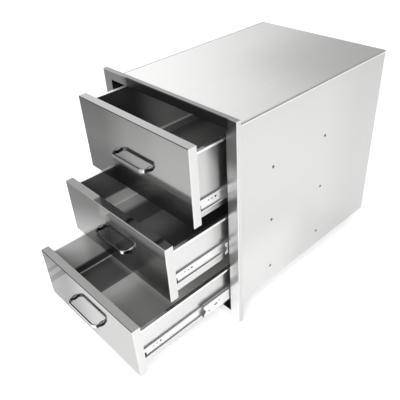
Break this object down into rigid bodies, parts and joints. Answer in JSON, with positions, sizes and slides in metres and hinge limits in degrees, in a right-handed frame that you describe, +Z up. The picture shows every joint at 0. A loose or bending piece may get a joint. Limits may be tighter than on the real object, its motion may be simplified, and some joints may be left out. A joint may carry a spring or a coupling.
{
  "type": "outdoor kitchen drawer unit",
  "caption": "Built-in stainless outdoor kitchen drawer unit: flush face frame, sheet cabinet and pull-out drawers on full-extension ball-bearing slides.",
  "frame": {"origin": "centre of the cut-out in the island, in the plane of the island's face, where the frame's folded lip seats", "axes": "+X to the right seen from the front, +Y back into the island, +Z up"},
  "size_m": [0.4572, 0.9, 0.577],
  "materials": {
    "frame_steel": "brushed stainless steel, grain along each border",
    "cabinet_steel": "fine satin stainless sheet",
    "face_steel": "brushed stainless steel, horizontal grain",
    "box_steel": "smooth bright-rolled stainless sheet",
    "bracket_steel": "plain rolled steel",
    "slide_zinc": "bright zinc-plated rolled steel",
    "ball_steel": "bright steel, lightly greased",
    "handle_chrome": "polished",
    "rivet_steel": "plain stainless rivet",
    "screw_steel": "zinc-plated",
    "bumper_rubber": "matt black rubber"
  },
  "bodies": {
    "cabinet": {"face_frame": "frame_steel", "cabinet_top": "cabinet_steel", "cabinet_floor": "cabinet_steel", "cabinet_left_side": "cabinet_steel", "cabinet_right_side": "cabinet_steel", "cabinet_back": "cabinet_steel", "left_front_bracket": "bracket_steel", "left_rear_bracket": "bracket_steel", "right_front_bracket": "bracket_steel", "right_rear_bracket": "bracket_steel", "side_rivets": "rivet_steel", "slide_rivets": "rivet_steel", "slide_bumpers": "bumper_rubber", "upper_left_cabinet_member": "slide_zinc", "upper_right_cabinet_member": "slide_zinc", "middle_left_cabinet_member": "slide_zinc", "middle_right_cabinet_member": "slide_zinc", "lower_left_cabinet_member": "slide_zinc", "lower_right_cabinet_member": "slide_zinc"},
    "upper_drawer": {"upper_face": "face_steel", "upper_face_liner": "box_steel", "upper_box": "box_steel", "upper_box_back": "box_steel", "upper_handle": "handle_chrome", "upper_handle_screws": "screw_steel", "upper_left_drawer_member": "slide_zinc", "upper_right_drawer_member": "slide_zinc"},
    "upper_intermediates": {"upper_left_intermediate_member": "slide_zinc", "upper_right_intermediate_member": "slide_zinc"},
    "upper_outer_cages": {"upper_outer_ball_cages": "ball_steel"},
    "upper_inner_cages": {"upper_inner_ball_cages": "ball_steel"},
    "middle_drawer": {"middle_face": "face_steel", "middle_face_liner": "box_steel", "middle_box": "box_steel", "middle_box_back": "box_steel", "middle_handle": "handle_chrome", "middle_handle_screws": "screw_steel", "middle_left_drawer_member": "slide_zinc", "middle_right_drawer_member": "slide_zinc"},
    "middle_intermediates": {"middle_left_intermediate_member": "slide_zinc", "middle_right_intermediate_member": "slide_zinc"},
    "middle_outer_cages": {"middle_outer_ball_cages": "ball_steel"},
    "middle_inner_cages": {"middle_inner_ball_cages": "ball_steel"},
    "lower_drawer": {"lower_face": "face_steel", "lower_face_liner": "box_steel", "lower_box": "box_steel", "lower_box_back": "box_steel", "lower_handle": "handle_chrome", "lower_handle_screws": "screw_steel", "lower_left_drawer_member": "slide_zinc", "lower_right_drawer_member": "slide_zinc"},
    "lower_intermediates": {"lower_left_intermediate_member": "slide_zinc", "lower_right_intermediate_member": "slide_zinc"},
    "lower_outer_cages": {"lower_outer_ball_cages": "ball_steel"},
    "lower_inner_cages": {"lower_inner_ball_cages": "ball_steel"}
  },
  "joints": [
    {"name": "upper_drawer_slide", "type": "slide", "parent": "cabinet", "child": "upper_drawer", "axis": [0, -1, 0], "range_m": [-0.1, 0.36]},
    {"name": "upper_intermediates_slide", "type": "slide", "parent": "cabinet", "child": "upper_intermediates", "axis": [0, -1, 0], "range_m": [-0.05, 0.18]},
    {"name": "upper_outer_cages_slide", "type": "slide", "parent": "cabinet", "child": "upper_outer_cages", "axis": [0, -1, 0], "range_m": [-0.025, 0.09]},
    {"name": "upper_inner_cages_slide", "type": "slide", "parent": "cabinet", "child": "upper_inner_cages", "axis": [0, -1, 0], "range_m": [-0.075, 0.27]},
    {"name": "middle_drawer_slide", "type": "slide", "parent": "cabinet", "child": "middle_drawer", "axis": [0, -1, 0], "range_m": [-0.1835, 0.2765]},
    {"name": "middle_intermediates_slide", "type": "slide", "parent": "cabinet", "child": "middle_intermediates", "axis": [0, -1, 0], "range_m": [-0.09175, 0.13825]},
    {"name": "middle_outer_cages_slide", "type": "slide", "parent": "cabinet", "child": "middle_outer_cages", "axis": [0, -1, 0], "range_m": [-0.04587, 0.06913]},
    {"name": "middle_inner_cages_slide", "type": "slide", "parent": "cabinet", "child": "middle_inner_cages", "axis": [0, -1, 0], "range_m": [-0.13762, 0.20738]},
    {"name": "lower_drawer_slide", "type": "slide", "parent": "cabinet", "child": "lower_drawer", "axis": [0, -1, 0], "range_m": [-0.2945, 0.1655]},
    {"name": "lower_intermediates_slide", "type": "slide", "parent": "cabinet", "child": "lower_intermediates", "axis": [0, -1, 0], "range_m": [-0.14725, 0.08275]},
    {"name": "lower_outer_cages_slide", "type": "slide", "parent": "cabinet", "child": "lower_outer_cages", "axis": [0, -1, 0], "range_m": [-0.07362, 0.04138]},
    {"name": "lower_inner_cages_slide", "type": "slide", "parent": "cabinet", "child": "lower_inner_cages", "axis": [0, -1, 0], "range_m": [-0.22087, 0.12412]}
  ],
  "couplings": [
    {"joint": "upper_intermediates_slide", "follows": "upper_drawer_slide", "ratio": 0.5},
    {"joint": "upper_outer_cages_slide", "follows": "upper_drawer_slide", "ratio": 0.25},
    {"joint": "upper_inner_cages_slide", "follows": "upper_drawer_slide", "ratio": 0.75},
    {"joint": "middle_intermediates_slide", "follows": "middle_drawer_slide", "ratio": 0.5},
    {"joint": "middle_outer_cages_slide", "follows": "middle_drawer_slide", "ratio": 0.25},
    {"joint": "middle_inner_cages_slide", "follows": "middle_drawer_slide", "ratio": 0.75},
    {"joint": "lower_intermediates_slide", "follows": "lower_drawer_slide", "ratio": 0.5},
    {"joint": "lower_outer_cages_slide", "follows": "lower_drawer_slide", "ratio": 0.25},
    {"joint": "lower_inner_cages_slide", "follows": "lower_drawer_slide", "ratio": 0.75}
  ]
}
